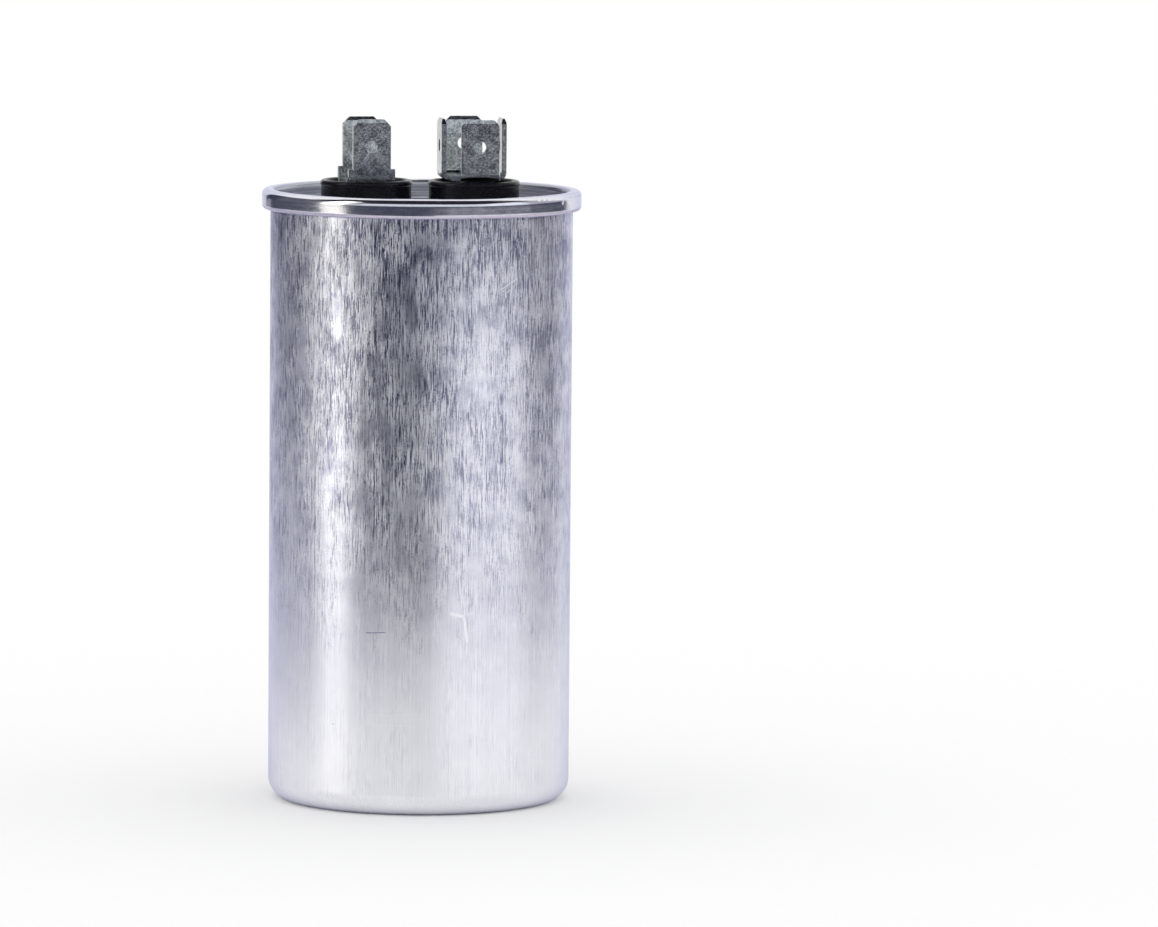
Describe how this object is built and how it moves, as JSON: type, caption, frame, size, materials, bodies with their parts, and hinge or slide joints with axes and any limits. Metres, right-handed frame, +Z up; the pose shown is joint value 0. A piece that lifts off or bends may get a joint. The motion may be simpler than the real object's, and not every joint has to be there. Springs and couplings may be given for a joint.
{
  "type": "motor run capacitor",
  "caption": "Round motor run capacitor: drawn aluminium can, double-seamed lid, quick-connect tabs in black insulating cups.",
  "frame": {"origin": "centre of the can's flat bottom face", "axes": "+Z up along the can's axis towards the tabs, +X from the two-tab terminal to the four-tab terminal"},
  "size_m": [0.0528, 0.0528, 0.1131],
  "materials": {
    "can_sheet": "bare drawn aluminium with fine streaks along the can",
    "lid_sheet": "bare pressed aluminium",
    "seam_compound": "set sealing compound",
    "cup_moulding": "black moulding, semi-gloss",
    "gasket_rubber": "dark rubber",
    "washer_board": "insulating board",
    "rivet_metal": "tinned",
    "lug_brass": "bare brass",
    "tab_metal": "tinned, dull and fine-grained",
    "lead_strip": "tinned copper strip",
    "sprayed_zinc": "rough sprayed zinc",
    "metallised_film": "metallised polypropylene film, wound tight",
    "core_plastic": "natural plastic",
    "plain_film": "plain film wrap",
    "base_plastic": "white moulding",
    "disc_board": "insulating board",
    "cast_resin": "soft cast resin"
  },
  "bodies": {
    "root": {"can": "can_sheet", "lid": "lid_sheet", "seam_compound": "seam_compound", "two_tab_cup": "cup_moulding", "four_tab_cup": "cup_moulding", "two_tab_gasket": "gasket_rubber", "four_tab_gasket": "gasket_rubber", "two_tab_washer": "washer_board", "four_tab_washer": "washer_board", "two_tab_rivet": "rivet_metal", "four_tab_rivet": "rivet_metal", "two_tab_lug": "lug_brass", "four_tab_lug": "lug_brass", "two_tab_terminal": "tab_metal", "four_tab_terminal": "tab_metal", "top_lead": "lead_strip", "core_lead": "lead_strip", "top_contact": "sprayed_zinc", "bottom_contact": "sprayed_zinc", "film_winding": "metallised_film", "core_tube": "core_plastic", "winding_wrap": "plain_film", "base_cup": "base_plastic", "top_disc": "disc_board", "filling": "cast_resin"}
  },
  "joints": []
}
